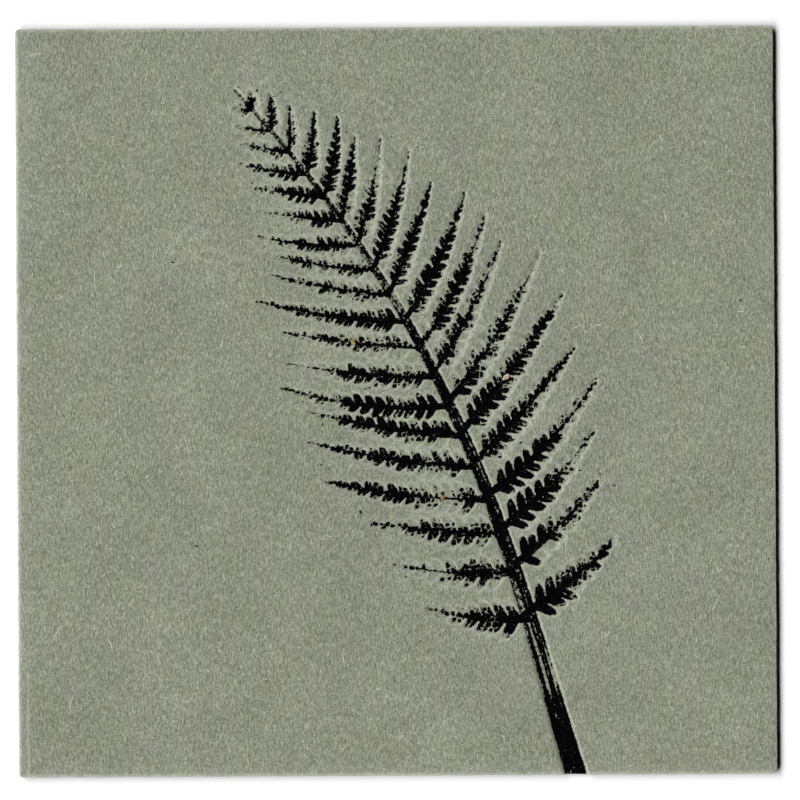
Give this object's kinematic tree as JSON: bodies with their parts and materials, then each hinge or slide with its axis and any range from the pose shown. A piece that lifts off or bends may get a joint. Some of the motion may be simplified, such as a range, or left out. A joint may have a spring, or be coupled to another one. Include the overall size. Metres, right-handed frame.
{
  "type": "nature print card",
  "caption": "Square grey-green board card with a black fern frond nature print pressed into its face, to lie flat, frame or write on.",
  "frame": {"origin": "centre of the card's underside, the face that rests on a table", "axes": "+Z out of the printed face, +X to the right of the print and +Y to its top"},
  "size_m": [0.12, 0.1184, 0.0013],
  "materials": {
    "grey_green_board": "matt recycled board with fine fibres",
    "black_ink": "matt black relief ink",
    "dry_husk": "dry plant husk"
  },
  "bodies": {
    "root": {"board": "grey_green_board", "ink_frond": "black_ink", "husk_fleck_1": "dry_husk", "husk_fleck_2": "dry_husk", "husk_fleck_3": "dry_husk"}
  },
  "joints": []
}
